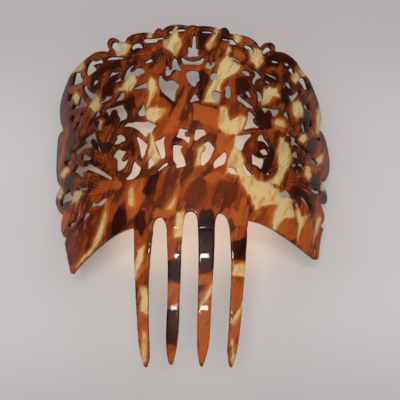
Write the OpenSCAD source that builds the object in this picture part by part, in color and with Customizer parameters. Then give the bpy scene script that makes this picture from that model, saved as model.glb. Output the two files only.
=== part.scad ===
// Four-toothed crest comb sawn and carved from one heat-bent sheet of imitation tortoiseshell.
// It lies as on a table, convex face up: X is the width, +Y runs from the teeth to the crest, +Z is up.
// The pattern is drawn flat, as it is on the sheet before bending: u across, v along the teeth, in mm.
// The two halves are drawn one by one, because the comb is sawn by hand and they differ.

/* [Sheet] */
// Radius of the convex face
bend_r = 100; // [96:1:110]
// Thickness of the sheet
sheet_t = 2.5; // [2:0.1:3.5]

/* [Teeth] */
// Radius of the inward sweep along a tooth
sweep_r = 270; // [220:10:400]

/* [Finish] */
// Longest straight step along a sawn curve
saw_step = 1.4; // [1:0.1:3]
// Width of each flat strip that makes up the bend
bend_step = 3.5; // [2:0.5:5]

/* [Hidden] */
// How far the saw passes beyond both faces of the sheet.
past = 6;
// Where the teeth leave the heel, and the line where the heel gives way to the openwork.
root_v = -10;
heel_v = 18;
// Seams between the panels of the sheet, across the width and along the length.
left_far = -106;
left_out = -56;
left_in = -30;
right_in = 18;
right_out = 50;
right_far = 102.5;
heel_left = -33;
heel_right = 30;
seam_v = 52;
border_seam_left = 64;
border_seam_right = 52;
wing_v = -31;
top_v = 112;
tip_v = -82;
// The widest reach of the rim on each side, which fixes the origin under the middle of the comb.
rim_left = -105.1;
rim_right = 101.5;
mid_v = 15.2;
deg_per_mm = 180 / PI / bend_r;
mid_x = bend_r * (sin(rim_left * deg_per_mm) + sin(rim_right * deg_per_mm)) / 2;
floor_z = (bend_r - sheet_t) * cos(rim_left * deg_per_mm);
// Facets round the large circle of a tooth's sweep.
sweep_fn = 720;

// ---- The curve that a saw follows ----
// An outline is a list of [u, v] points. A third value of 1 makes that point a sharp corner.

function flat(p) = [p.x, p.y];
function along(a, b) =
    let (step = flat(b) - flat(a))
    norm(step) > 0 ? step / norm(step) : [0, 0];
function is_corner(p) = len(p) > 2;
function heading(before, at, after, next) =
    !is_corner(at) ? along(before, after) : next ? along(at, after) : along(before, at);
function hermite(p, q, tp, tq, t) =
    let (s = t * t, c = s * t, reach = norm(q - p))
    (2 * c - 3 * s + 1) * p + (c - 2 * s + t) * reach * tp + (3 * s - 2 * c) * q + (c - s) * reach * tq;
function sawn(outline) = [
    for (i = [0 : len(outline) - 1])
        let (n = len(outline),
             before = outline[(i + n - 1) % n], p = outline[i],
             q = outline[(i + 1) % n], after = outline[(i + 2) % n],
             tp = heading(before, p, q, true), tq = heading(p, q, after, false),
             straight = is_corner(p) && is_corner(q),
             steps = straight ? 1 : max(2, ceil(norm(flat(q) - flat(p)) / saw_step)))
            for (k = [0 : steps - 1])
                hermite(flat(p), flat(q), tp, tq, k / steps)
];

// ---- The outside of the crest and the heel: what is sawn away around the scalloped border ----
// Each piece of waste runs along one scallop, then out and round through square corners.

rim = [
    // left border, from the notch below the great scallop up to the ring
    [[-102, 62.6, 1], [-98, 62.8], [-94.8, 61.8, 1], [-97, 64.2], [-99.6, 67.4], [-102, 71.5],
     [-103.6, 76], [-104, 80], [-103.3, 84], [-101.4, 87.2],
     [-99, 89.7], [-96, 92.6], [-92.5, 95.8], [-89, 98.2], [-85, 99.7], [-77, 101.5, 1], [-76, 116, 1],
     [-112, 116, 1], [-112, 60, 1]],
    [[-77, 101.5, 1], [-72, 102.7], [-67, 103.7], [-62.5, 103.9], [-58, 103.1], [-55, 102.1],
     [-52.1, 100.7, 1], [-53.2, 103.3],
     [-54.4, 106], [-54.1, 108.5], [-52.6, 109.9, 1], [-52, 116, 1], [-84, 116, 1]],
    // left ring and the scallops to the crown
    [[-52.6, 109.9, 1], [-50.2, 110], [-47.8, 108.7],
     [-45.5, 106.6], [-43.6, 105.2], [-41.4, 104.5, 1], [-40, 106.8], [-37.5, 108.1], [-33.5, 108.7],
     [-29, 108.3],
     [-25, 107.6], [-22.7, 106.9, 1], [-21, 116, 1], [-60, 116, 1]],
    [[-22.7, 106.9, 1], [-22.1, 108.3], [-21, 109.6], [-19.4, 109.8], [-18.1, 109], [-17.4, 108.3, 1],
     [-16, 109.9], [-13, 110.8],
     [-9, 111], [-5, 110.7], [-2.3, 109.8, 1], [-1, 110.5], [0.9, 110.5], [2.3, 109.8, 1], [5, 110.1],
     [9, 109.9], [13, 109.5],
     [15.8, 108.3, 1], [17, 109.2], [18.5, 109.9], [20.1, 109.5], [21.4, 107.9], [22, 106.2, 1],
     [25, 116, 1], [-26, 116, 1]],
    // right scallops and ring
    [[22, 106.2, 1], [25, 106.4], [29, 106.3], [32, 106], [35, 105.2], [38, 103.6], [39.8, 101.7],
     [40.6, 100, 1], [42, 102],
     [44, 104], [46.5, 105.1], [49.3, 105.3, 1], [54, 116, 1], [20, 116, 1]],
    // right border, from the ring down to the notch below the great scallop
    [[49.3, 105.3, 1], [51.3, 104.5], [51.9, 102.6], [51.5, 101], [50.8, 99.7, 1], [53.5, 100.9],
     [57.5, 101.4], [61.5, 101], [65.5, 99.9], [69, 98], [71.5, 95.5], [74, 93.7], [78.4, 92.1, 1],
     [90, 116, 1], [48, 116, 1]],
    [[78.4, 92.1, 1], [81, 90.4], [83.5, 87.3], [86, 84], [88.5, 81], [90.5, 77.5], [92, 73.5],
     [92.4, 69], [91.2, 64.8],
     [89, 61], [86.4, 58.2, 1], [88, 59.4], [91, 60, 1], [112, 60, 1], [112, 116, 1], [78, 116, 1]],
    // right border, lower scallops down to the wing
    [[91, 60, 1], [94.8, 58.2], [98, 54.5], [100.2, 49.5], [101.4, 44], [101, 39], [99, 34],
     [96, 30.4], [92.5, 27.7], [89, 26.2], [86.6, 25.8, 1], [112, 22, 1], [112, 72, 1]],
    [[86.6, 25.8, 1], [89, 24.9], [91.8, 23], [93.7, 20], [94, 16.6], [92.4, 13.8], [88.6, 12.4],
     [85, 11.8, 1], [87.2, 9],
     [88.4, 5.6], [87.8, 2.4], [85.8, 0], [83, -1.7, 1], [86.6, -2.8, 1], [112, -8, 1], [112, 30, 1]],
    [[86.6, -2.8, 1], [84.2, -6.5], [82, -12], [80.2, -18], [79.2, -21.4], [77.4, -22.3], [75, -22, 1],
     [72, -40, 1], [112, -40, 1], [112, 2, 1]],
    // right wing's lower edge, in to the outer tooth
    [[75, -22, 1], [70, -20], [60, -15.3], [50, -10.6], [40, -6.4], [30.2, -4.4, 1], [29.3, -10, 1],
     [29.3, -40, 1], [80, -40, 1]],
    // left wing's lower edge
    [[-74.5, -28.6, 1], [-70, -25.6], [-60, -19.6], [-50, -13.8], [-43, -10.4], [-36, -8.3],
     [-32.9, -8.2, 1], [-32.6, -10, 1],
     [-32.6, -40, 1], [-80, -40, 1]],
    [[-74.5, -28.6, 1], [-76.2, -29.5], [-77.5, -28.4], [-79.8, -23], [-82.6, -17], [-85.4, -10.3, 1],
     [-112, -5, 1], [-112, -40, 1], [-72, -40, 1]],
    // left border, lower scallops
    [[-85.4, -10.3, 1], [-84, -8.2, 1], [-87.8, -5.8], [-90.4, -2.6], [-91.2, 0.5], [-90.6, 3.6],
     [-89, 6.7, 1], [-93, 8.6],
     [-97, 11.6], [-100.4, 15], [-102, 18], [-101, 21.2], [-98, 24], [-94.6, 25.6, 1], [-112, 30, 1],
     [-112, -15, 1]],
    [[-94.6, 25.6, 1], [-98, 27.8], [-101.5, 31.5], [-104, 38], [-105, 46], [-105, 54], [-104.5, 60],
     [-102, 62.6, 1], [-112, 70, 1],
     [-112, 22, 1]],
    // round heads of the three slots between the teeth
    [[-21.8, -12, 1], [-21.8, -8], [-21, -5], [-19.7, -3.6], [-18.2, -3.2], [-16.8, -3.7],
     [-15.6, -5.4], [-14.6, -8.4], [-14.2, -12, 1]],
    [[-5.7, -12, 1], [-5.2, -7], [-4.4, -2.4], [-3.1, -0.8], [-1.5, -0.4], [0.1, -0.9], [1.4, -2.5],
     [2.1, -6], [2.4, -12, 1]],
    [[11.3, -12, 1], [11.7, -7], [12.3, -3.9], [13.3, -1.9], [14.8, -1.3], [16.4, -1.9], [17.9, -3.7],
     [18.9, -6.2], [19.8, -12, 1]]
];

// ---- The openings of the crown and the middle of the crest ----

openings_middle = [
    // trident, and the crescent and the shield under it
    [[-3, 90.6], [-2.3, 93.2], [-2.7, 96.4], [-2.5, 99], [-2, 102.2, 1], [-1.6, 99.6], [-1.6, 97],
     [-1, 95.9], [-0.3, 96.6], [0, 99],
     [0.3, 103], [1, 105.9, 1], [1.6, 103], [1.7, 99], [1.8, 96.4], [2.4, 95.5], [3.1, 96.6],
     [3.3, 99.2], [3.7, 102.2, 1],
     [4.2, 99.6], [4, 96.6], [3.1, 94], [2.8, 92.3], [4.1, 91.2], [0.6, 90.4]],
    [[-7.4, 93, 1], [-5.6, 90], [-3, 88.3], [0.5, 87.6], [4, 88.6], [7.9, 91.8, 1], [6.3, 88.5],
     [4.6, 85.6], [0, 85.3], [-3.2, 85.7],
     [-5, 85.6], [-6.2, 88.5]],
    [[-3.4, 80.9, 1], [-1, 81.8], [2.9, 81.5, 1], [3.5, 79], [3.4, 77.3], [3.9, 75.7], [2.3, 74.2],
     [1.2, 71.1, 1], [-1.6, 73.5],
     [-2.7, 75.2], [-3.4, 77.5], [-4, 79.3]],
    [[1.4, 68, 1], [2.6, 65.4], [4, 63.3, 1], [1, 62.8], [-2, 61.6, 1], [-0.8, 64.6]],
    // slits and eyelets of the crown
    [[-9.4, 107.4], [-8, 108.4], [-5, 108.3], [-3.9, 107.6], [-5, 106.8], [-8.3, 106.7]],
    [[-13.8, 106.5], [-12.6, 108], [-11.7, 106.9], [-12.6, 105.5]],
    [[4.8, 106.1], [7, 106.9], [10.4, 106.8], [11.8, 106.2], [10.4, 105.6], [6.4, 105.5]],
    [[12.3, 105.2], [13, 106.1], [13.7, 105.2], [12.9, 104.2]],
    // tongues hanging on each side of the crescent
    [[-10.3, 91.3, 1], [-9.2, 87.8], [-8.2, 85], [-6.4, 82.2], [-7.2, 81.5], [-9, 82.4], [-11.2, 82.2],
     [-12.3, 81], [-12.9, 79.3],
     [-14.8, 78.8], [-15.7, 80.3], [-15.4, 84], [-15.5, 88], [-15.1, 90.8, 1], [-14.5, 88],
     [-14.2, 84.6], [-13.5, 82.9],
     [-12.4, 82.8], [-11.8, 84.6], [-11.6, 88]],
    [[9.3, 90.2, 1], [8.4, 87], [7.3, 84.3], [8.2, 82.9], [9.8, 82.7], [11.6, 84.2], [12.6, 86],
     [12.5, 89], [11.6, 92.3, 1],
     [11.6, 88], [11.2, 85.7], [10.3, 85.1], [9.6, 86.5]],
    // lily over the heel
    [[-9.5, 41.6, 1], [-8.2, 44.4], [-7.6, 47.4, 1], [-4.8, 46.4], [-2.3, 46, 1], [-2.2, 44.8, 1],
     [-4, 44.9], [-4.9, 43.5],
     [-4, 42.2], [-1.6, 42.2, 1], [-1.9, 39.5], [-2.5, 37.2, 1], [-4.4, 39.8], [-7, 41.2]],
    [[1.4, 46.2, 1], [6.2, 46.3, 1], [7.7, 43.2, 1], [4.5, 41.7], [1, 38.7, 1], [0.7, 41.5], [1.2, 44]],
    [[-11.2, 37.4, 1], [-8, 37.2], [-4.9, 36.2, 1], [-6.6, 35.4], [-6.8, 33.6], [-5.2, 30],
     [-4.3, 26.6], [-3.9, 24.9, 1],
     [-7.5, 24.2], [-11.9, 23.2, 1], [-9, 25.4], [-10.7, 28.3], [-10.9, 32]],
    [[8.7, 39.6, 1], [11.9, 35.6, 1], [10.4, 31.8], [9, 28.8], [5.3, 24.7, 1], [4.2, 26.4], [4.4, 30],
     [5, 33], [6.6, 33.8],
     [7, 35.4], [5.2, 36.8, 1], [6.8, 38.4]],
    [[-3.9, 35.6, 1], [-2.6, 33.4], [-1.4, 29, 1], [-2.7, 31.6]],
    // slanting leaves beside the lily
    [[-22.8, 20.9, 1], [-19.5, 23.5], [-16.6, 26.4], [-14.6, 27.5], [-13.6, 25.9, 1], [-16, 24.8],
     [-19, 22.6]],
    [[11.8, 23.1, 1], [11.2, 25.8], [12.2, 28.2], [15.3, 31.3], [18.1, 34.2, 1], [18.6, 31],
     [17.6, 27.6], [16.3, 25.8], [13.6, 24.8]]
];

// ---- The openings of the left half ----

openings_left = [
    // under the great scallop
    [[-84, 97.5], [-80.5, 96.3], [-77.6, 96.1], [-77.2, 93], [-75.8, 90.5], [-74, 88.6, 1],
     [-76.5, 87.9], [-79, 88], [-82.5, 89],
     [-87.3, 89.8, 1], [-86, 92.5], [-84.9, 95]],
    [[-70.8, 97.8], [-69, 99.5], [-66.5, 99.8], [-65, 98.6], [-60, 98.2], [-58.2, 97], [-56.4, 94.4, 1],
     [-59.5, 95.6], [-65.6, 96.2, 1],
     [-63.8, 93.8], [-61.6, 91.9, 1], [-66, 90.8], [-69, 90.2, 1], [-71, 91.8], [-72, 94.5]],
    [[-55, 96.6], [-53, 97.6], [-49, 96.9], [-43, 95.2], [-35.5, 93.6, 1], [-44, 94.2], [-51, 95.4]],
    [[-51.3, 105], [-50.2, 106.7], [-48, 106.4], [-45.8, 104], [-44.3, 101.2], [-44, 98.3, 1],
     [-46.5, 99.5], [-49.4, 102.1]],
    [[-74.2, 84.4], [-72.6, 85.3], [-70.6, 84.6], [-69.9, 82.2], [-68.2, 79.8], [-65.4, 77.6],
     [-61, 76.3, 1], [-61.6, 74.2],
     [-63.8, 72.4], [-66, 73.8], [-69, 77], [-72, 80.8]],
    [[-65.2, 84], [-64.2, 86.1], [-62.3, 85.2], [-59.2, 85.8, 1], [-60.5, 83.8], [-62, 82.7],
     [-64.3, 82.8]],
    [[-89, 83.6], [-87, 83.9], [-85.2, 82.3], [-85, 80.4], [-87, 79.8], [-89.8, 80.8]],
    [[-68.9, 70.2, 1], [-71, 73], [-73.6, 76], [-76.6, 79.2, 1], [-77.8, 76.4], [-78.6, 73.9],
     [-82, 74.9], [-85.4, 73.6, 1],
     [-81, 72], [-75, 71.4]],
    // scrolls and leaves beside the crown
    [[-36.8, 100.6], [-35.4, 102.3], [-33, 102.4], [-31, 101], [-30, 99.3], [-26.4, 97.7, 1],
     [-30, 98.3], [-33.2, 99.1], [-34.6, 98.8],
     [-34.4, 96.8, 1], [-36, 98.9]],
    [[-29.9, 104.3], [-25, 104], [-21, 103.7], [-18.4, 104.1], [-16.5, 103.1], [-15, 102.2, 1],
     [-20.5, 102.4], [-21, 100.9],
     [-25, 101.2], [-27.6, 101.4], [-28.8, 103]],
    [[-31.2, 90.9, 1], [-35.5, 89.1], [-39, 87.3], [-40.6, 85], [-41.5, 82], [-42.5, 79.5, 1],
     [-40, 81], [-37.5, 82.5], [-34.5, 82.3],
     [-32.2, 80.9, 1], [-30.5, 81.8], [-28, 82.2, 1], [-29, 84.5], [-31, 86], [-33.5, 86.4],
     [-35.2, 85.3], [-37.6, 84.3, 1],
     [-37, 86.3], [-35, 88.1]],
    [[-28.4, 89.2], [-26.8, 90.3], [-24.8, 91], [-23.4, 89], [-25, 88.4], [-27.4, 88.3]],
    [[-24.5, 91.1, 1], [-20, 93.3], [-16, 94.8, 1], [-20.3, 92.3]],
    [[-28.6, 84.2, 1], [-25, 85.8], [-21, 87, 1], [-25, 84.8]],
    [[-54.8, 82.7, 1], [-53, 84.4], [-50.4, 87.5], [-48.5, 86.6], [-43.7, 87.2, 1], [-46, 85.3],
     [-50, 84.6]],
    [[-49.7, 79.8, 1], [-45, 82.4], [-42.5, 79.9, 1], [-46, 80.1]],
    [[-18.6, 82.3, 1], [-17.9, 79.5], [-16.9, 76.9], [-14.8, 76], [-12.2, 76.6], [-10.3, 75.3],
     [-7.6, 72.4], [-9.3, 69.8],
     [-10, 66.5], [-10.3, 62.2, 1], [-13.5, 65.5], [-17.8, 70], [-19.3, 74], [-19.5, 78]],
    [[-36.6, 73.4, 1], [-32, 75], [-27.4, 76.6, 1], [-26.6, 74.6], [-25.8, 72.4, 1], [-29, 72.9],
     [-33, 73]],
    [[-60.2, 72.4, 1], [-58.4, 70.9], [-56.6, 70.6], [-55.2, 72], [-53.9, 73.1], [-52, 72.2],
     [-48.7, 72.5, 1], [-50.3, 70.4],
     [-53, 69.5], [-56.5, 69.2], [-58.8, 69.9]],
    [[-48, 68.2, 1], [-45.6, 69.7], [-43.9, 72.3], [-42.3, 73], [-41, 71.6], [-41, 69.6], [-41.8, 68],
     [-44, 67.8]],
    // knots and eyes of the outer scroll
    [[-75.4, 65.6], [-73.8, 67.3], [-70.8, 68.1], [-68.4, 67.4], [-66.6, 65.4, 1], [-69.5, 66.8],
     [-71.6, 66.9], [-72, 65.8],
     [-70.8, 64.5, 1], [-73, 65]],
    [[-85.4, 66.6], [-83, 68.3], [-81.6, 66.8], [-81.2, 64.8], [-82.6, 63.9], [-84.2, 65]],
    [[-80.6, 57.2], [-79.6, 59.6], [-78, 62], [-76.4, 62.6], [-74.8, 61.3], [-73.8, 58.6, 1],
     [-75.8, 59], [-77.3, 60],
     [-78.6, 58.9], [-79.4, 57.1, 1]],
    [[-67.9, 55.4, 1], [-66, 58], [-63.2, 61], [-61.9, 63.4], [-61.2, 65.6, 1], [-59.8, 64],
     [-57.2, 61.3, 1], [-60, 61.6],
     [-62.3, 60], [-65.1, 57]],
    [[-60.2, 56], [-59.3, 57.9], [-57.7, 57.8], [-57, 55.8], [-56.6, 53], [-55.9, 50.4, 1],
     [-57.6, 52.5], [-59.4, 53.8]],
    // fingers and long gaps
    [[-71.6, 50.2, 1], [-67, 51.3], [-63, 52.1], [-61.3, 51], [-60.4, 48], [-58.6, 43.6],
     [-55.7, 38.2, 1], [-57.4, 38.7],
     [-59.2, 41.8], [-60.8, 45.6], [-62.3, 48.1], [-63.8, 48.3], [-64.7, 46.6], [-62.8, 42.9, 1],
     [-66.5, 43.6], [-70, 43.5],
     [-73, 42.3], [-75.6, 41.3], [-78.4, 42.6], [-81.8, 44.7, 1], [-76, 45.8], [-69, 47.2, 1]],
    [[-91.2, 39.5, 1], [-88.6, 40.7], [-85, 40.2], [-82, 39], [-83.5, 37.3], [-86.6, 36.5], [-89, 38]],
    [[-70.9, 40.6], [-68.8, 39.7], [-66.2, 37.6], [-60, 34.6], [-53.8, 29.5, 1], [-60, 33.3],
     [-65.5, 36], [-70.6, 36.5], [-72, 38.6]],
    [[-64.3, 40.5, 1], [-61.5, 39.8], [-60, 38.6, 1], [-62, 39]],
    [[-42.4, 18.2, 1], [-49, 22.9], [-55, 27], [-60, 30.2], [-65.8, 33.2], [-69, 32.6], [-72.5, 33.2],
     [-76, 34.9], [-80.4, 31, 1],
     [-78.4, 31.2], [-76, 29.6], [-73.6, 27.8], [-69, 25.7], [-64.2, 23.2, 1], [-68, 26.2],
     [-70.6, 28.2], [-69.4, 29.4],
     [-67.6, 29.1], [-66, 27.8, 1], [-66.8, 29.9], [-64.8, 29.6], [-59, 26.7], [-52, 23], [-47, 20.3]],
    [[-61.5, 25.1, 1], [-57.4, 23, 1], [-59.4, 24.6]],
    [[-75, 19.9], [-71, 19.8], [-65, 19], [-58.8, 18.1, 1], [-65, 17.9], [-70.6, 18.4]],
    [[-91.6, 20.2, 1], [-87, 19.9], [-81.2, 22.1, 1], [-81.9, 19.6], [-80.6, 16.8], [-76.4, 14.6, 1],
     [-83, 14.4], [-88.6, 14.2],
     [-90, 13], [-88.4, 11.5], [-85.4, 10.4, 1], [-88.6, 10.7], [-91.6, 13], [-93.6, 16.2]],
    // volute and stem
    [[-46, 46.3], [-44, 46.9], [-41.3, 46], [-39.8, 44.2], [-39.4, 42.4], [-41.4, 42.4], [-43.4, 41.3],
     [-45.6, 41.6],
     [-48.1, 41.5, 1], [-46.5, 43.4], [-45.2, 45.1]],
    [[-47.8, 34.4, 1], [-46.2, 36.7], [-43.9, 38.3], [-41.6, 36.9], [-38.2, 36.5, 1], [-40, 34.2],
     [-41.6, 31], [-39.6, 30.7],
     [-36.9, 33, 1], [-38, 29.4], [-40.2, 26.2], [-44, 25.1, 1], [-44.8, 29], [-45.2, 33]],
    [[-33.7, 30.4, 1], [-32, 28], [-29.3, 25.4, 1], [-30, 22.8], [-32, 20.6], [-35, 19.3],
     [-39.4, 20, 1], [-37, 21.8],
     [-35.2, 24.6], [-34.4, 28]],
    [[-33.4, 45.4, 1], [-30, 42.4], [-25.6, 38.4, 1], [-26.4, 35.6], [-27.4, 32.6], [-29, 29.9, 1],
     [-29.6, 32.4], [-30.4, 36.4],
     [-31.4, 40.4]],
    [[-21.8, 40.4, 1], [-18.2, 41.4], [-14.9, 44.1, 1], [-16.1, 40.5], [-15.9, 36], [-15.5, 32.5],
     [-15.6, 30, 1], [-17.3, 29.5],
     [-18.5, 32.5], [-19.8, 36]],
    [[-25, 30], [-23.4, 30.6], [-22.2, 28.6], [-20.6, 27.5, 1], [-22.8, 25.8], [-25, 23.4, 1]],
    [[-41.4, 51.3, 1], [-38.4, 53.3], [-36, 53], [-33.6, 53.3], [-30, 52.6], [-25.4, 52.4],
     [-22.5, 50.3], [-19.8, 49.2, 1],
     [-21.8, 48], [-23.3, 45.4], [-25.3, 45.3], [-26.4, 43], [-29, 45.4], [-32.3, 48.6], [-36, 50.4]],
    [[-54.8, 64.7, 1], [-48, 64.7], [-42, 65.3, 1], [-40.8, 62.3], [-39.2, 59.8], [-38.7, 57.5],
     [-39.1, 55.9], [-42, 55.2],
     [-44.8, 54.1, 1], [-43.8, 57], [-45.4, 59.6], [-45.8, 61.8], [-47.4, 63.1], [-49.2, 62.3],
     [-50, 60.3], [-50.7, 59.1, 1],
     [-52.4, 62]],
    [[-29.4, 67.6, 1], [-28.4, 65], [-27.8, 60.5], [-26.9, 56.2, 1], [-30.5, 56], [-32.1, 58.9, 1],
     [-30.2, 60.8], [-29.1, 63.4]],
    // above the left wing
    [[-82.4, 0.7, 1], [-80, 0.3], [-77.6, 0.8], [-75.8, 3], [-74.2, 6.1], [-72.6, 5.4], [-70.4, 4.9, 1],
     [-73, 2], [-76, -0.6],
     [-79, -1.9], [-81.2, -1.1]],
    [[-67, 4.4], [-62, 2.9, 1], [-66, 0.8], [-71.2, -2.1, 1], [-69, 1.2]],
    [[-62.4, 8.5], [-61.2, 9.9], [-58.6, 8.5], [-54.5, 10.2], [-51, 11.4, 1], [-50.8, 8.9],
     [-55.5, 6.1, 1], [-56.6, 7.4],
     [-59.6, 6.7], [-61.8, 7.2]]
];

// ---- The openings of the right half ----

openings_right = [
    // under the great scallop
    [[70.2, 86.2], [71.5, 88], [73, 90], [75.5, 90], [77.2, 88.8], [78.4, 86], [79.5, 83.8], [77, 82.9],
     [74.6, 82.3, 1], [72.3, 84.6]],
    [[57.4, 93.7, 1], [59.5, 94.7], [61.8, 95.6], [63.2, 94.4], [61.5, 93.8], [59.5, 93.2]],
    [[60.2, 90.2, 1], [62, 91.3], [64, 93.3], [65.2, 93.4], [66.4, 91], [65.9, 89.7], [64.4, 89],
     [62.8, 89.8]],
    [[47.3, 92.8, 1], [50, 94.1], [53, 94.5], [54.5, 93.4], [52, 93], [49.5, 92.6]],
    [[41.6, 96.2, 1], [43.3, 99], [45.5, 101.5], [47.3, 102.3], [48.6, 101.3], [47.7, 100],
     [45.5, 98.6], [43.3, 96.8]],
    [[60.4, 73.8], [62.5, 74.4], [65.3, 76], [67.7, 78.2], [69.4, 80, 1], [70, 79], [68, 76],
     [65.2, 72.6], [62.4, 70.2, 1], [61.7, 71.8]],
    [[57.6, 82.7, 1], [59.2, 82.2], [61.2, 82.9], [62.3, 82.5], [63.4, 79.3], [61.7, 78.8], [59.4, 79.6]],
    // scrolls and leaves beside the crown
    [[30.6, 99.4], [32, 100.4], [34.5, 100.1], [36.3, 98.3], [36.7, 96.5], [35.9, 95, 1], [35.2, 97.1],
     [33.6, 97.9], [31.8, 97.7, 1]],
    [[15.4, 102.3, 1], [17.5, 103], [21, 102.6], [24, 102.7], [25.4, 101.2], [26.2, 100.3],
     [24.2, 99.3], [21.3, 99.2, 1], [21.8, 101.3],
     [18.5, 101.6]],
    [[30, 88.6, 1], [33, 87], [36, 85.4], [38.6, 84.4], [41.7, 81.5, 1], [39.5, 80.4], [37.6, 79.3],
     [36.8, 76.6], [35.8, 75.5],
     [35.3, 78.2], [36.8, 80.6], [37.4, 82.4], [36.2, 84.1], [33.2, 85.9]],
    [[28.3, 82.6, 1], [30, 83.9], [32.5, 83.9], [34, 82.6], [33.8, 81.1], [31.5, 80.6], [29.8, 81.7]],
    [[22.3, 89.8, 1], [24.2, 89.4], [26.7, 87.9], [26.3, 86.3, 1], [24.6, 87.5]],
    [[42.3, 85.8, 1], [45.5, 84.9], [50.5, 84.1], [52, 83.3], [53.4, 81.7, 1], [49, 82.6], [45, 83.6]],
    [[42.8, 78.2, 1], [45, 80], [46.5, 79.8], [48.4, 78.2, 1], [45.5, 78.2]],
    [[10, 77], [10.4, 79.3], [12, 80.7], [14.4, 81.2, 1], [13.6, 78.6], [12.2, 76.4], [11.2, 75.2, 1]],
    [[12, 69.6], [15.9, 68.4, 1], [15.2, 66.4], [14.4, 64], [13.6, 62.4, 1], [11.6, 64.6], [11, 67.2]],
    [[20.9, 75.2, 1], [21.7, 71], [21.6, 67], [20.8, 65.4], [19, 65.4], [18.5, 67], [18.8, 70],
     [18.1, 72], [19.7, 72.7]],
    [[15.7, 72.6], [16.4, 75], [17.6, 77.8, 1], [17.1, 75], [16.6, 72.8]],
    [[30.7, 69.8], [32.2, 71.6], [33.6, 70.2], [34.1, 68], [33.2, 67.1], [31.8, 68.2]],
    [[37, 72.9, 1], [39, 72.2], [41, 71.2], [41.6, 69], [40.6, 66.6], [38.2, 65.4, 1], [38.4, 69]],
    [[26.5, 69.2, 1], [28, 67], [31, 65], [34, 63], [36.9, 60.6, 1], [33.5, 60.9], [30.8, 61.2],
     [28.4, 63.4], [25.7, 64.6], [25.7, 66.6]],
    // knots and eyes of the outer scroll
    [[59.1, 64.6, 1], [59.7, 61.4], [61.2, 57.4], [64.3, 52.8, 1], [62.4, 52.6], [60.8, 54.6],
     [59.2, 58.2], [55.6, 60.7, 1], [57.6, 62.6]],
    [[70.6, 59], [73, 59.3], [74, 56.6], [74.3, 53.9], [72.3, 53.5], [70.5, 55.2]],
    [[73.4, 70], [75, 72], [76.8, 73], [78, 71.4], [79, 69.7], [76, 69.3]],
    [[76.8, 60], [78.2, 62.4], [79.9, 63.2], [79, 61], [78.8, 58.6], [77.3, 58.4]],
    [[84.2, 51.8, 1], [86, 53.5], [88.6, 53.9], [87, 52.2]],
    [[76, 37.5], [78.5, 38.9], [82, 38.4], [84.5, 36.8], [81.5, 35.2], [78, 35.3]],
    // fingers and long gaps
    [[39.9, 62.3, 1], [44, 62.8], [49, 63], [54, 63.9, 1], [51.4, 60.6], [47.8, 57.8, 1], [47.4, 60],
     [45.8, 61.8], [44.3, 61.4],
     [43.6, 59.9], [44.1, 58.2, 1], [42.2, 59.8]],
    [[32.4, 58.8], [34.9, 58.1], [35.6, 56.9], [38.5, 55.4, 1], [36, 55.8], [35, 54.2], [36.2, 51.9],
     [40, 49.8, 1], [34, 49.2],
     [28.2, 46.9, 1], [30.4, 50.5], [31.6, 55]],
    [[57.7, 49.4], [59.2, 50.3], [62, 48.8], [65.6, 48.2, 1], [64.6, 46.4], [67, 44.9], [71, 42.9],
     [74.8, 41.6, 1], [72.2, 40.6],
     [68.2, 42.7], [64, 43.8], [60, 42.9, 1], [60.8, 45.6], [60.5, 48.2], [59, 48.7], [57.3, 46.6],
     [55, 42.4], [52.6, 38.6, 1],
     [54.2, 43]],
    [[59.5, 36.6, 1], [62.4, 38.8], [65.2, 40.4], [66.2, 38.6], [65.6, 36.1], [62.8, 36.1]],
    [[59.4, 30.2, 1], [63, 32.2], [67, 32.8], [70.6, 34, 1], [69.6, 31.5], [67.4, 31.3], [64, 31.3],
     [61.6, 29.8]],
    [[40.8, 22.1], [45, 24.7], [50, 27.4, 1], [46, 24.1], [41.3, 21.5]],
    [[61.8, 25.7, 1], [64.8, 28.3], [68.4, 30, 1], [65.6, 27.3]],
    [[61.5, 22, 1], [66, 21.8], [71, 20.5, 1], [66, 20.9]],
    [[75.6, 18.8, 1], [78, 20.2], [82, 19.5], [86.6, 20.5, 1], [85.6, 18.6], [81, 17.6], [77.6, 17.8]],
    // volute and stem
    [[37, 41.4, 1], [37.8, 43.9], [39.6, 45.6], [41.8, 45.9, 1], [41.4, 44.4], [43.4, 42],
     [46.1, 38.2, 1], [43.6, 39.4], [41.4, 41.4], [39.2, 42]],
    [[38, 35.9, 1], [40.5, 37], [42.2, 37.6], [43.9, 34.6], [42, 34.2], [40.6, 33.7]],
    [[33.6, 34.2, 1], [36, 32.6], [38.6, 31.7], [41.1, 32.4, 1], [40.6, 29.6], [39.5, 26.4],
     [38.3, 25.4], [36.4, 27], [33.4, 27.5, 1],
     [33.5, 30.6]],
    [[24, 43.3], [28, 44.1], [35.9, 46.4, 1], [31.6, 42.6], [29.4, 39.6], [28.2, 36.4], [27.2, 34.6, 1],
     [24.6, 35.4], [23, 37.6, 1],
     [23.6, 40.4]],
    [[29.4, 29.4, 1], [29.4, 26.4], [31, 24], [33.4, 21.8, 1], [31.6, 20.2], [29.2, 21.2], [27.9, 24.4],
     [28.2, 27.4]],
    [[18.6, 24.3, 1], [21, 24.9], [24, 23.2], [24.4, 21.2, 1], [20.6, 21]],
    // above the right wing
    [[49.8, 14.2, 1], [52.6, 13.6], [55, 15.4], [57.4, 14.2], [59.4, 11.8], [59, 10.8], [56.4, 11.4],
     [54, 11.4], [51.8, 10.3], [50, 12]],
    [[60.9, 6.9], [63.8, 9.1], [65.6, 6.2, 1], [63, 6.1]],
    [[65.5, 12.6, 1], [69.8, 12.6], [72, 10.6], [75.4, 6.3, 1], [73, 6.4], [69.4, 9.6]]
];

// ---- The four teeth, each from its root down one edge to the tip and back up the other ----

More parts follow.
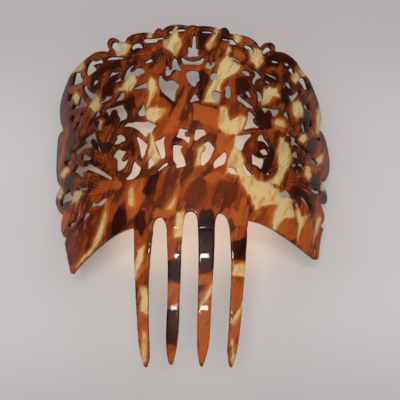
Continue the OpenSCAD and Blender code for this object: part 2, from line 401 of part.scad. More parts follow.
tooth_outlines = [
    [[-32.6, -6, 1], [-32.6, -10], [-32.3, -20], [-31.8, -38], [-31.3, -60], [-30.9, -70], [-30, -75.4],
     [-28.3, -80.3],
     [-26.7, -78], [-25.9, -75], [-25.5, -68], [-25, -50], [-24.4, -36], [-23.5, -25], [-22.6, -16],
     [-21.9, -10], [-21.8, -6, 1]],
    [[-14.2, -6, 1], [-14.3, -10], [-13.9, -21], [-13.6, -32], [-14.2, -50], [-14.9, -60], [-15.1, -70],
     [-14.3, -77], [-13, -79.1],
     [-11.7, -77.8], [-10.9, -75], [-9.6, -70], [-8.3, -60], [-7.8, -49], [-6.9, -34], [-6.4, -20],
     [-5.7, -10], [-5.5, -6, 1]],
    [[2.3, -6, 1], [2.4, -10], [2.7, -20], [2.5, -36], [2.2, -52], [2.1, -68], [2.7, -75], [4.4, -80.2],
     [5.6, -78.4],
     [6.8, -75], [8.2, -69], [8.9, -60], [9.6, -44], [10.6, -30], [11.1, -20], [11.4, -10], [11.5, -6, 1]],
    [[19.7, -6, 1], [19.7, -10], [20.1, -20], [20.4, -30], [19.9, -46], [19.6, -60], [19.3, -70],
     [19.9, -75.6], [21.5, -80.6],
     [22.8, -78.4], [23.8, -75], [24.8, -69], [25.8, -58], [26.6, -45], [27.7, -31], [28.6, -19],
     [29.3, -10], [29.4, -6, 1]]
];

// ---- Sheet and saw ----

// A panel of bent sheet between two lines across the width and two along the length.
module panel(u_from, u_to, v_from, v_to) {
    steps = ceil((u_to - u_from) / bend_step);
    stops = [for (k = [0 : steps]) (u_from + (u_to - u_from) * k / steps) * deg_per_mm];
    outside = [for (k = [0 : steps]) bend_r * [sin(stops[k]), cos(stops[k])]];
    inside = [for (k = [steps : -1 : 0]) (bend_r - sheet_t) * [sin(stops[k]), cos(stops[k])]];
    translate([0, v_to, 0])
        rotate([90, 0, 0])
            linear_extrude(v_to - v_from)
                polygon(concat(outside, inside));
}

// The saw cuts square to the sheet at the middle of each outline.
module saw_out(outline) {
    path = sawn(outline);
    us = [for (p = outline) p.x];
    centre = (min(us) + max(us)) / 2;
    rotate([0, centre * deg_per_mm, 0])
        translate([0, 0, bend_r - sheet_t - past])
            linear_extrude(sheet_t + 2 * past)
                polygon([for (p = path) [bend_r * sin((p.x - centre) * deg_per_mm), p.y]]);
}

// An outline matters to a panel only when its reach comes within a millimetre of it.
function crosses(outline, u_from, u_to, v_from, v_to) =
    let (us = [for (p = outline) p.x], vs = [for (p = outline) p.y])
    min(us) < u_to + 1 && max(us) > u_from - 1 && min(vs) < v_to + 1 && max(vs) > v_from - 1;

module openwork(u_from, u_to, v_from, v_to) {
    translate([-mid_x, -mid_v, -floor_z])
        difference() {
            panel(u_from, u_to, v_from, v_to);
            for (outlines = [rim, openings_middle, openings_left, openings_right])
                for (outline = outlines)
                    if (crosses(outline, u_from, u_to, v_from, v_to)) saw_out(outline);
        }
}

// A tooth is flat across and swept inwards, so its slab is a slice of a wide ring lying across the comb.
module tooth(outline) {
    us = [for (p = outline) p.x];
    centre = (min(us) + max(us)) / 2;
    width = max(us) - min(us) + 2 * past;
    sweep = asin((root_v - tip_v) / sweep_r);
    translate([-mid_x, -mid_v, -floor_z])
        rotate([0, centre * deg_per_mm, 0])
            intersection() {
                translate([0, root_v, bend_r - sweep_r])
                    rotate([0, -90, 0])
                        rotate([0, 0, -sweep])
                            rotate_extrude(angle = sweep, $fn = sweep_fn)
                                translate([sweep_r - sheet_t, -width / 2])
                                    square([sheet_t, width]);
                translate([0, 0, bend_r - sheet_t - 3 * past])
                    linear_extrude(sheet_t + 4 * past)
                        polygon([for (p = sawn(outline)) [p.x - centre, p.y]]);
            }
}

// ---- Sub-parts ----

module tooth_outer_left() {
    color([0.58, 0.30, 0.12])
        tooth(tooth_outlines[0]);
}

module tooth_inner_left() {
    color([0.55, 0.26, 0.10])
        tooth(tooth_outlines[1]);
}

module tooth_inner_right() {
    color([0.48, 0.20, 0.10])
        tooth(tooth_outlines[2]);
}

module tooth_outer_right() {
    color([0.62, 0.34, 0.14])
        tooth(tooth_outlines[3]);
}

// The solid band that carries the teeth.
module heel() {
    color([0.50, 0.16, 0.06])
        openwork(heel_left, heel_right, root_v, heel_v);
}

// The pointed wings hang lower than the heel, beside the outer teeth.
module wing_left() {
    color([0.52, 0.18, 0.07])
        openwork(left_far, heel_left, wing_v, heel_v);
}

module wing_right() {
    color([0.54, 0.20, 0.08])
        openwork(heel_right, right_far, wing_v, heel_v);
}

// The lily over the heel and the slanting leaves beside it.
module crest_centre_low() {
    color([0.78, 0.52, 0.22])
        openwork(left_in, right_in, heel_v, seam_v);
}

// The shield, the crescent and the trident under the crown.
module crest_centre_high() {
    color([0.80, 0.60, 0.30])
        openwork(left_in, right_in, seam_v, top_v);
}

// Volute and first fingers of the left scroll.
module crest_left_low() {
    color([0.60, 0.26, 0.09])
        openwork(left_out, left_in, heel_v, seam_v);
}

module crest_left_high() {
    color([0.56, 0.24, 0.09])
        openwork(left_out, left_in, seam_v, top_v);
}

module crest_right_low() {
    color([0.72, 0.42, 0.16])
        openwork(right_in, right_out, heel_v, seam_v);
}

module crest_right_high() {
    color([0.64, 0.34, 0.14])
        openwork(right_in, right_out, seam_v, top_v);
}

// The scalloped border with the outer scroll worked inside it.
module border_left_low() {
    color([0.57, 0.22, 0.08])
        openwork(left_far, left_out, heel_v, border_seam_left);
}

module border_left_high() {
    color([0.50, 0.20, 0.09])
        openwork(left_far, left_out, border_seam_left, top_v);
}

module border_right_low() {
    color([0.60, 0.28, 0.10])
        openwork(right_out, right_far, heel_v, border_seam_right);
}

module border_right_high() {
    color([0.66, 0.36, 0.15])
        openwork(right_out, right_far, border_seam_right, top_v);
}

tooth_outer_left();
tooth_inner_left();
tooth_inner_right();
tooth_outer_right();
heel();
wing_left();
wing_right();
crest_centre_low();
crest_centre_high();
crest_left_low();
crest_left_high();
crest_right_low();
crest_right_high();
border_left_low();
border_left_high();
border_right_low();
border_right_high();
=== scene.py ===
import math
import bmesh
import bpy
import numpy as np
from mathutils import Euler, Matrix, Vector
from mathutils.kdtree import KDTree


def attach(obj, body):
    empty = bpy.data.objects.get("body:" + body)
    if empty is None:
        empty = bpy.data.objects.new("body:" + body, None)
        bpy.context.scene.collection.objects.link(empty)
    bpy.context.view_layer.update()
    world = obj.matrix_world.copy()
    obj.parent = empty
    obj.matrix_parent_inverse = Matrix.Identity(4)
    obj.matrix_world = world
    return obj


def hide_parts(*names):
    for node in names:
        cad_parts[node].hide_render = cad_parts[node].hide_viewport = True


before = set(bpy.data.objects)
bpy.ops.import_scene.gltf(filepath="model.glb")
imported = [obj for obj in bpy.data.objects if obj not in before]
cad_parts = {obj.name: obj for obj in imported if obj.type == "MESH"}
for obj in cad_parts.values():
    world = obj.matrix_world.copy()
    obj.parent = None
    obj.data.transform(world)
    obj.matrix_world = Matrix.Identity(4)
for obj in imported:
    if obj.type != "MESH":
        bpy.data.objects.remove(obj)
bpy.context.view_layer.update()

# ---- The bent sheet ----
# The comb is one sheet of plastic, sawn through and bent over a former, so its regions are grown
# together into a single skin. The saw leaves its edges slightly rounded by polishing.

# Radius and axis of the bend, and the middle of the comb's length on the flat sheet, in metres.
BEND = 0.100
AXIS_X = 0.000925
AXIS_Z = -0.04843
MIDDLE_V = 0.0152
# The teeth sweep inwards beyond their roots, in millimetres.
ROOT_V = -10
SWEEP = 270
# Size of the cells that the skin is grown from, in metres.
VOXEL = 0.0005
# A side wall spans at least this depth, and a seam between regions is longer than this, in millimetres.
WALL_DEPTH = 1.6
SEAM_LENGTH = 3
EDGE_SPACING = 0.5


def flat_place(points):
    """Across and along on the flat sheet, and depth below the convex face, all in millimetres."""
    x = points[:, 0] - AXIS_X
    z = points[:, 2] - AXIS_Z
    v = (points[:, 1] + MIDDLE_V) * 1000
    sag = np.where(v < ROOT_V, (v - ROOT_V) ** 2 / (2 * SWEEP) / 1000, 0)
    angle = np.arctan2(x, z + sag)
    depth = BEND - np.hypot(x, z + sag)
    return angle * BEND * 1000, v, depth * 1000


def settle(piece):
    """Applies the modifiers to the mesh."""
    bpy.context.view_layer.update()
    shaped = piece.evaluated_get(bpy.context.evaluated_depsgraph_get())
    mesh = bpy.data.meshes.new_from_object(shaped)
    piece.modifiers.clear()
    old = piece.data
    piece.data = mesh
    bpy.data.meshes.remove(old)


def grow_together(nodes):
    """One skin over all the regions, with its corners eased."""
    points, faces, start = [], [], 0
    for name in sorted(nodes):
        mesh = nodes[name].data
        points.extend(tuple(p.co) for p in mesh.vertices)
        faces.extend([start + i for i in p.vertices] for p in mesh.polygons)
        start += len(mesh.vertices)
    mesh = bpy.data.meshes.new("comb_sheet")
    mesh.from_pydata(points, [], faces)
    sheet = bpy.data.objects.new("comb_sheet", mesh)
    bpy.context.scene.collection.objects.link(sheet)
    skin = sheet.modifiers.new("skin", "REMESH")
    skin.mode = "VOXEL"
    skin.voxel_size = VOXEL
    polish = sheet.modifiers.new("polish", "SMOOTH")
    polish.factor = 0.5
    polish.iterations = 3
    settle(sheet)
    return sheet


def read_points(mesh):
    points = np.empty(len(mesh.vertices) * 3, np.float32)
    mesh.vertices.foreach_get("co", points)
    return points.reshape(-1, 3).astype(float)


def sawn_edges(nodes):
    """Points on the flat sheet along every side wall of the CAD regions, seams left out."""
    found = []
    for name in sorted(nodes):
        mesh = nodes[name].data
        co = read_points(mesh)
        for face in mesh.polygons:
            loop = co[list(face.vertices)]
            u, v, depth = flat_place(loop)
            if depth.max() - depth.min() < WALL_DEPTH:
                continue
            middle = loop.mean(axis=0)
            outward = Vector((middle[0] - AXIS_X, 0, middle[2] - AXIS_Z)).normalized()
            if abs(face.normal.dot(outward)) > 0.5:
                continue
            i, j = max(((a, b) for a in range(len(u)) for b in range(a)),
                       key=lambda pair: math.hypot(u[pair[0]] - u[pair[1]], v[pair[0]] - v[pair[1]]))
            long = math.hypot(u[i] - u[j], v[i] - v[j])
            seam = abs(face.normal.y) > 0.999 or (abs(face.normal.y) < 1e-3 and long > SEAM_LENGTH)
            if seam and name[:5] != "tooth":
                continue
            marks = int(long / EDGE_SPACING) + 1
            for k in range(marks):
                t = (k + 0.5) / marks
                found.append((u[i] + (u[j] - u[i]) * t, v[i] + (v[j] - v[i]) * t))
    return found


sheet = grow_together(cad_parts)
edges = sawn_edges(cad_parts)
edge_tree = KDTree(len(edges))
for number, (u, v) in enumerate(edges):
    edge_tree.insert((u, v, 0), number)
edge_tree.balance()


def edge_distance(u, v):
    """Millimetres to the nearest sawn edge."""
    return np.array([edge_tree.find((a, b, 0))[2] for a, b in zip(u, v)])


# ---- The carving ----
# Every leaf and scroll of the crest is engraved on the convex face with two lines that follow its
# sawn edge, fans of leaf veins and a rounded shoulder. The heel and the teeth are only polished.

# Distance of the two engraved lines from the sawn edge, and half the width of a vein, in millimetres.
FIRST_LINE = 1.4
SECOND_LINE = 2.7
VEIN_WIDTH = 0.34


def smooth_step(low, high, value):
    t = np.clip((value - low) / (high - low), 0, 1)
    return t * t * (3 - 2 * t)


def ridge(value, middle, width):
    """1 where the value is at the middle, falling to 0 on both sides."""
    return np.exp(-((value - middle) / width) ** 2)


def front_face(depth):
    """1 on the convex face, 0 on the walls and the back."""
    return smooth_step(1.5, 0.6, depth)


def leafy(u, v):
    """1 on the engraved leaves and scrolls, 0 on the smooth middle, the heel and the teeth."""
    above = smooth_step(16, 24, v + 10 * smooth_step(40, 75, np.abs(u)))
    aside = np.maximum(smooth_step(24, 34, np.abs(u)), smooth_step(80, 90, v))
    return above * aside


# Fans of engraved leaf veins: centre across and along, nearest and farthest reach in millimetres,
# first and last direction in degrees, number of veins.
FANS = [
    (-38, 14, 10, 56, 120, 186, 13),
    (-14, 96, 9, 46, 164, 214, 8),
    (-46, 50, 4, 17, 70, 210, 10),
    (-9, 91, 4, 17, 40, 170, 9),
    (42, 15, 9, 50, -6, 72, 13),
    (14, 96, 9, 42, -34, 14, 8),
    (42, 52, 4, 17, -30, 120, 10),
    (-38, 70, 4, 16, 30, 190, 9),
    (40, 66, 5, 17, 20, 150, 9),
    (-62, 62, 4, 18, 60, 200, 8),
    (64, 58, 4, 18, -20, 130, 8),
]


def veins(u, v):
    """1 along an engraved vein, 0 away from it."""
    best = np.zeros(len(u))
    for centre_u, centre_v, near, far, first, last, lines in FANS:
        reach = np.hypot(u - centre_u, v - centre_v)
        angle = np.degrees(np.arctan2(v - centre_v, u - centre_u))
        angle = np.where(angle < first - 40, angle + 360, angle)
        pitch = (last - first) / (lines - 1)
        bend = angle + 0.35 * (reach - near)
        off = np.radians(bend - np.round((bend - first) / pitch) * pitch - first) * reach
        inside = (reach > near) & (reach < far) & (angle > first) & (angle < last)
        best = np.maximum(best, inside * ridge(off, 0, VEIN_WIDTH))
    return best


def carve(piece):
    """Sinks the engraving and the shoulders into the skin."""
    points = read_points(piece.data)
    u, v, depth = flat_place(points)
    reach = edge_distance(u, v)
    crest = leafy(u, v)
    shoulder = 0.32 * smooth_step(1.1, 0.0, reach)
    lines = 0.22 * ridge(reach, FIRST_LINE, 0.32) + 0.16 * ridge(reach, SECOND_LINE, 0.34)
    leaf = 0.15 * veins(u, v) * smooth_step(0.5, 1.2, reach)
    drop = front_face(depth) * (shoulder * (0.4 + 0.6 * crest) + lines * crest + leaf) / 1000
    away = np.stack([points[:, 0] - AXIS_X, np.zeros(len(points)), points[:, 2] - AXIS_Z], axis=1)
    away /= np.linalg.norm(away, axis=1)[:, None]
    points -= away * drop[:, None]
    piece.data.vertices.foreach_set("co", points.astype(np.float32).ravel())
    piece.data.update()


carve(sheet)
sheet.data.polygons.foreach_set("use_smooth", [True] * len(sheet.data.polygons))

# ---- The cloud in the plastic ----
# Imitation tortoiseshell is pressed from scraps of cream, amber and near-black celluloid, drawn out
# into slanting flames. Each flame is an outline on the flat sheet, across and along, in millimetres.

CREAM = [
    # right half
    [(15, 60), (15, 54), (14, 47), (18, 44), (24, 43), (28, 48), (31, 55), (26, 55), (21, 52), (20, 55),
     (19, 59)],
    [(23, 42), (21, 34), (19, 27), (18, 21), (25, 20), (28, 13), (31, 9), (34, 1), (38, 4), (48, 6),
     (60, 9), (54, 12),
     (50, 14), (42, 18), (36, 18), (32, 22), (29, 27), (27, 33), (25, 37), (25, 42)],
    [(49, 7), (46, 1), (44, -5), (44, -9), (46, -9), (48, -6), (52, -2), (60, 0), (58, 8), (54, 9)],
    [(61, 4), (62, -4), (61, -13), (64, -7), (69, 0), (72, 3), (66, 1), (63, 6)],
    [(84, 3), (80, -3), (76, -10), (74, -13), (78, -1), (81, 4)],
    [(52, 46), (50, 38), (50, 28), (46, 20), (42, 18), (50, 17), (54, 24), (58, 30), (60, 36), (58, 43),
     (55, 46)],
    [(20, 92), (15, 86), (13, 80), (11, 76), (16, 75), (20, 78), (25, 81), (28, 86), (26, 89)],
    [(11, 76), (9, 71), (6, 62), (14, 62), (15, 66), (16, 71), (18, 78), (15, 78)],
    [(41, 68), (42, 74), (46, 76), (51, 76), (53, 71), (48, 70), (44, 65), (40, 64)],
    [(63, 62), (63, 70), (68, 73), (72, 70), (71, 64), (66, 61)],
    [(84, 56), (85, 66), (88, 72), (91, 76), (93, 70), (91, 62), (86, 56)],
    [(63, 85), (64, 90), (69, 91), (71, 87), (66, 83)],
    [(70, 93), (73, 96), (79, 92), (72, 89)],
    [(33, 97), (37, 99), (42, 98), (42, 91), (38, 86), (35, 90)],
    [(24, 107), (29, 107), (28, 100), (24, 100)],
    [(9, 95), (11, 99), (14, 103), (16, 109), (13, 109), (12, 104), (8, 97)],
    [(19, 92), (20, 97), (21, 100), (22, 95)],
    [(48, 54), (50, 57), (55, 57), (56, 53), (51, 52)],
    [(66, 47), (68, 51), (73, 53), (74, 50), (71, 45)],
    [(80, 36), (83, 40), (88, 43), (91, 44), (88, 38), (84, 35)],
    [(70, 27), (71, 32), (75, 33), (76, 27), (73, 24)],
    [(85, 20), (87, 25), (92, 25), (91, 21)],
    [(1, 25), (2, 34), (5, 37), (7, 33), (4, 30), (5, 25)],
    # left half
    [(-16, 97), (-17, 101), (-13, 102), (-11, 108), (-9, 110), (-8, 103), (-6, 98), (-9, 91), (-12, 93),
     (-14, 94)],
    [(-46, 96), (-49, 102), (-45, 106), (-40, 104), (-37, 101), (-40, 96)],
    [(-42, 76), (-40, 80), (-37, 84), (-33, 82), (-33, 77), (-36, 72), (-40, 73), (-46, 74)],
    [(-67, 69), (-62, 75), (-59, 74), (-57, 68), (-60, 63), (-63, 65)],
    [(-85, 81), (-80, 83), (-76, 78), (-78, 74), (-81, 76)],
    [(-87, 98), (-83, 102), (-75, 102), (-73, 97), (-78, 96)],
    [(-27, 57), (-25, 60), (-20, 60), (-16, 58), (-18, 54), (-22, 50), (-26, 53)],
    [(-26, 52), (-24, 45), (-24, 40), (-25, 34), (-24, 28), (-21, 27), (-17, 30), (-20, 35), (-22, 42),
     (-23, 48)],
    [(-25, 69), (-26, 74), (-24, 79), (-21, 76), (-21, 70), (-23, 66), (-26, 60), (-27, 58)],
    [(-99, 20), (-99, 26), (-93, 25), (-89, 20), (-95, 17)],
    [(-96, 33), (-90, 37), (-86, 37), (-84, 33), (-90, 30)],
    [(-79, 12), (-78, 18), (-72, 20), (-69, 16), (-74, 12)],
    [(-71, -26), (-66, -20), (-60, -17), (-56, -9), (-52, 0), (-50, 8), (-50, 1), (-52, -9), (-55, -15),
     (-62, -21)],
    [(-36, 4), (-36, 12), (-34, 16), (-33, 10), (-33, 4)],
    [(-14, 1), (-12, 5), (-9, 9), (-10, 4), (-12, 1)],
    [(-59, 53), (-58, 59), (-55, 57), (-56, 53)],
    [(-27, 103), (-26, 108), (-23, 108), (-24, 103)],
    # teeth
    [(-9, -1), (-5, -1), (-5, -14), (-10, -15), (-10, -10)],
    [(-30, -20), (-26, -18), (-27, -26), (-31, -35), (-33, -35)],
    [(-28, -40), (-24, -40), (-24, -54), (-28, -52)],
    [(-27, -62), (-25, -62), (-25, -77), (-28, -79)],
    [(2, -50), (10, -38), (10, -43), (4, -51)],
    [(21, -28), (29, -28), (28, -35), (20, -34)],
    [(19, -58), (27, -45), (27, -49), (21, -59)],
    [(19, -65), (21, -68), (21.5, -79), (19, -77)],
]
DARK = [
    # left half
    [(-106, 76), (-104, 86), (-96, 94), (-88, 98), (-84, 94), (-90, 90), (-95, 85), (-99, 79)],
    [(-106, 62), (-107, 48), (-104, 34), (-98, 30), (-100, 40), (-102, 50), (-98, 58), (-92, 60), (-96, 64)],
    [(-91, 22), (-92, 28), (-84, 30), (-77, 34), (-77, 28), (-82, 22)],
    [(-90, 42), (-90, 50), (-86, 56), (-80, 60), (-76, 58), (-78, 52), (-86, 46)],
    [(-57, 72), (-57, 78), (-52, 84), (-45, 86), (-46, 78), (-48, 72)],
    [(-70, 88), (-60, 92), (-44, 94), (-42, 88), (-54, 88), (-62, 86)],
    [(-68, 78), (-66, 90), (-62, 92), (-58, 84), (-60, 80)],
    [(-47, -12), (-46, 0), (-42, 5), (-37, 2), (-36, -8), (-42, -11)],
    [(-33, -6), (-30, 2), (-26, 0), (-25, -8), (-28, -14)],
    [(-29, 12), (-24, 20), (-18, 22), (-20, 12), (-25, 8)],
    [(-44, 36), (-40, 39), (-34, 44), (-32, 36), (-34, 30), (-36, 36)],
    [(-64, 58), (-56, 62), (-44, 62), (-46, 56), (-52, 52), (-58, 54)],
    [(-72, 34), (-66, 36), (-58, 34), (-54, 30), (-62, 30)],
    [(-64, 44), (-62, 50), (-54, 44), (-46, 42), (-50, 36), (-56, 38)],
    [(-40, 60), (-39, 68), (-33, 69), (-33, 61)],
    [(-40, 99), (-30, 102), (-28, 98), (-34, 95)],
    [(-91, 10), (-84, 15), (-80, 12), (-84, 9)],
    [(-84, -3), (-76, -3), (-70, 2), (-66, 2), (-72, -5), (-82, -9)],
    [(-50, 66), (-42, 67), (-34, 66), (-42, 64), (-50, 64)],
    [(-19, 76), (-18, 66), (-12, 60), (-8, 60), (-14, 68), (-17, 78)],
    [(-14, 34), (-10, 44), (-4, 48), (-6, 40), (-11, 34)],
    # right half
    [(3, 63), (3, 80), (6, 83), (10, 77), (8, 68), (6, 62)],
    [(4, 92), (3, 106), (10, 107), (9, 98), (6, 92)],
    [(15, 101), (17, 111), (22, 108), (22, 103)],
    [(24, 68), (24, 78), (30, 80), (34, 74), (32, 66), (28, 64)],
    [(35, 50), (35, 58), (42, 63), (47, 58), (46, 50), (40, 48)],
    [(36, 24), (34, 30), (38, 42), (44, 44), (48, 36), (46, 28), (42, 22)],
    [(56, 62), (54, 76), (60, 80), (64, 76), (60, 68)],
    [(56, 80), (58, 90), (54, 98), (62, 100), (70, 98), (66, 94), (62, 84)],
    [(44, 94), (52, 100), (60, 100), (60, 96), (52, 90), (44, 88)],
    [(72, 42), (76, 50), (82, 54), (86, 52), (84, 44), (78, 40)],
    [(74, 22), (78, 27), (88, 26), (88, 20), (80, 19)],
    [(62, 26), (58, 30), (62, 34), (68, 31), (66, 27)],
    [(58, 12), (62, 20), (72, 16), (76, 8), (70, 8), (64, 12)],
    [(77, 86), (80, 92), (90, 82), (92, 76), (84, 80)],
    [(70, 62), (74, 68), (80, 68), (80, 60), (76, 54)],
    [(40, 78), (44, 84), (52, 86), (54, 80), (46, 78)],
    [(84, 13), (88, 22), (94, 22), (94, 15), (88, 12)],
    # teeth
    [(1, -26), (1, -8), (4, 1), (10, 1), (12, -8), (12, -26), (10, -33), (3, -34)],
    [(-15, -26), (-5, -26), (-6, -38), (-15, -36)],
    [(-16, -52), (-7, -50), (-9, -70), (-16, -68)],
    [(19, -17), (30, -13), (29, -27), (19, -26)],
]
MAROON = [
    [(10, 2), (9, 12), (14, 18), (20, 16), (24, 14), (27, 10), (24, 0), (18, 2)],
    [(-6, 6), (-2, 14), (5, 20), (8, 12), (8, 4), (2, 0)],
    [(-20, 8), (-16, 20), (-12, 22), (-8, 14), (-12, 6), (-17, 0)],
    [(-82, -10), (-78, -24), (-72, -24), (-66, -14), (-62, -6), (-70, -6)],
    [(-62, -8), (-58, 4), (-52, 8), (-50, -2), (-54, -14)],
    [(94, 32), (94, 46), (100, 52), (103, 42), (99, 32)],
    [(-100, 66), (-98, 78), (-90, 78), (-86, 68), (-94, 62)],
    [(28, 24), (30, 40), (34, 46), (32, 34), (34, 22)],
    [(32, 74), (36, 84), (44, 88), (40, 78), (38, 68)],
    [(82, 58), (80, 70), (82, 80), (86, 72), (84, 62)],
    [(-33, -36), (-30, -36), (-29, -52), (-33, -60)],
    [(-34, 44), (-26, 52), (-30, 62), (-38, 52)],
    [(33, -6), (38, 2), (42, 4), (41, -6)],
    [(24, 58), (24, 66), (30, 64), (34, 60), (30, 57)],
    [(0, 38), (4, 46), (10, 44), (12, 36), (10, 28), (8, 36)],
]
ORANGE = [
    [(-90, 88), (-80, 90), (-70, 88), (-68, 82), (-78, 84), (-88, 84)],
    [(-77, 101), (-75, 92), (-70, 90), (-72, 98)],
    [(-18, 44), (-12, 56), (-6, 66), (-2, 78), (-4, 62), (-8, 50), (-14, 44)],
    [(0, 62), (6, 60), (14, 58), (16, 48), (14, 46), (8, 48), (0, 52)],
    [(13, 45), (24, 42), (22, 34), (17, 28), (12, 38)],
    [(-50, -12), (-54, 0), (-50, 10), (-45, 12), (-49, 0)],
    [(-35, -4), (-38, 6), (-34, 18), (-28, 20), (-26, 8), (-30, 0)],
    [(-22, -3), (-14, 6), (-8, 18), (-6, 12), (-10, -2), (-14, -4)],
    [(31, -5), (34, 0), (48, 6), (46, 0), (44, -9), (38, -7)],
    [(48, -9), (52, -3), (60, -1), (61, -12), (56, -14)],
    [(62, -14), (70, 0), (76, 2), (74, -6), (70, -21), (64, -17)],
    [(78, -14), (84, -4), (87, -4), (81, -20), (76, -23)],
    [(-66, 14), (-56, 20), (-44, 22), (-40, 16), (-52, 14)],
    [(-76, 24), (-70, 30), (-60, 26), (-66, 22)],
    [(68, 96), (72, 98), (70, 90), (66, 92)],
    [(-31, -52), (-24, -52), (-25, -68), (-30, -66)],
    [(-15, -38), (-6, -38), (-7, -50), (-15, -51)],
    [(1, -34), (11, -34), (11, -38), (1, -40)],
    [(2, -51), (10, -45), (9, -66), (6, -81), (2, -76)],
    [(19, -36), (28, -36), (27, -45), (19, -56)],
    [(19, -60), (27, -50), (26, -70), (22, -81)],
    [(26, 98), (30, 106), (38, 105), (34, 98)],
    [(60, 50), (66, 56), (70, 58), (64, 48)],
    [(70, 36), (80, 36), (88, 34), (80, 30), (72, 33)],
    [(24, 98), (32, 92), (30, 88), (24, 90)],
    [(-40, 28), (-36, 33), (-31, 30), (-32, 22), (-40, 24)],
    [(48, 64), (56, 68), (60, 66), (54, 62)],
    [(-92, 4), (-86, 8), (-80, 6), (-84, -2), (-90, -2)],
    [(-100, 38), (-98, 48), (-92, 54), (-91, 46), (-94, 38)],
    [(20, -2), (20, 4), (26, 8), (30, 8), (30, -8), (22, -8)],
    [(44, 58), (50, 60), (58, 58), (60, 52), (56, 49), (48, 50)],
    [(-70, 76), (-60, 78), (-54, 70), (-60, 60), (-70, 64)],
    [(18, 18), (14, 22), (8, 20), (4, 18), (10, 14)],
]


def cloud(u, v, flames):
    """Millimetres inside the nearest flame, negative outside it."""
    best = np.full(len(u), -9.0)
    for outline in flames:
        near = np.full(len(u), 1e9)
        inside = np.zeros(len(u), bool)
        for (a, b), (c, d) in zip(outline, outline[1:] + outline[:1]):
            t = np.clip(((u - a) * (c - a) + (v - b) * (d - b)) / ((c - a) ** 2 + (d - b) ** 2), 0, 1)
            near = np.minimum(near, np.hypot(u - a - t * (c - a), v - b - t * (d - b)))
            if b != d:
                crossed = (v < b) != (v < d)
                inside ^= crossed & (u < a + (v - b) * (c - a) / (d - b))
        best = np.maximum(best, np.where(inside, near, -near))
    return best


def write_layer(mesh, name, values):
    layer = mesh.attributes.new(name, "FLOAT", "POINT")
    layer.data.foreach_set("value", values.astype(np.float32))


places = read_points(sheet.data)
across, along, below = flat_place(places)
from_edge = edge_distance(across, along)
for name, flames in (("cream", CREAM), ("dark", DARK), ("maroon", MAROON), ("orange", ORANGE)):
    write_layer(sheet.data, name, cloud(across, along, flames))
# The two engraved lines, a narrow band along each sawn edge and the leaf veins are painted dark brown on the
# front face.
grooves = ridge(from_edge, FIRST_LINE, 0.4) + 0.7 * ridge(from_edge, SECOND_LINE, 0.4)
grooves += 0.9 * ridge(from_edge, 0, 0.6)
grooves = np.maximum(grooves * leafy(across, along), 0.8 * veins(across, along))
write_layer(sheet.data, "groove", grooves * front_face(below))
write_layer(sheet.data, "below", below)
write_layer(sheet.data, "flat_u", across)
write_layer(sheet.data, "flat_v", along)


class Tone:
    """A shader value: sums and products of tones add their own nodes."""

    def __init__(self, tree, socket):
        self.tree, self.socket = tree, socket

    def node(self, kind, settings=None, inputs=None, out=0):
        made = self.tree.nodes.new(kind)
        for key, value in (settings or {}).items():
            setattr(made, key, value)
        for key, value in (inputs or {}).items():
            if isinstance(value, Tone):
                self.tree.links.new(value.socket, made.inputs[key])
            else:
                made.inputs[key].default_value = value
        return Tone(self.tree, made.outputs[out])

    def maths(self, other, how, swap=False):
        pair = (other, self) if swap else (self, other)
        return self.node("ShaderNodeMath", {"operation": how}, {0: pair[0], 1: pair[1]})

    def __add__(self, other):
        return self.maths(other, "ADD")

    def __radd__(self, other):
        return self.maths(other, "ADD", True)

    def __sub__(self, other):
        return self.maths(other, "SUBTRACT")

    def __rsub__(self, other):
        return self.maths(other, "SUBTRACT", True)

    def __mul__(self, other):
        return self.maths(other, "MULTIPLY")

    def __rmul__(self, other):
        return self.maths(other, "MULTIPLY", True)

    def step(self, low, high):
        """0 below low, 1 above high, smooth between."""
        return self.node("ShaderNodeMapRange", {"interpolation_type": "SMOOTHSTEP"},
                         {"Value": self, "From Min": low, "From Max": high, "To Min": 0.0, "To Max": 1.0})

    def between(self, first, second):
        """The first colour where this is 0, the second where it is 1."""
        return self.node("ShaderNodeMix", {"data_type": "RGBA"}, {0: self, 6: first, 7: second}, 2)


def paint(red, green, blue):
    """A colour as the eye reads it, out of 255, for the shader."""
    def channel(c):
        c = c / 255
        return c / 12.92 if c <= 0.04045 else ((c + 0.055) / 1.055) ** 2.4
    return (channel(red), channel(green), channel(blue), 1.0)


# The plastic from its darkest scraps to its palest, then the dark brown of the engraved lines and the sawn
# walls.
NEAR_BLACK = paint(38, 11, 8)
WINE = paint(94, 28, 11)
BROWN = paint(80, 22, 8)
AMBER = paint(148, 54, 13)
ORANGE_AMBER = paint(184, 86, 22)
HONEY = paint(186, 96, 30)
GOLD = paint(196, 112, 40)
BUTTER = paint(204, 160, 92)
IVORY = paint(222, 203, 144)
LINE_BROWN = paint(44, 16, 8)
SAWN = paint(30, 11, 8)
# The flames lean to the right, by these parts of across and along.
LEAN_U = 0.42
LEAN_V = 0.91


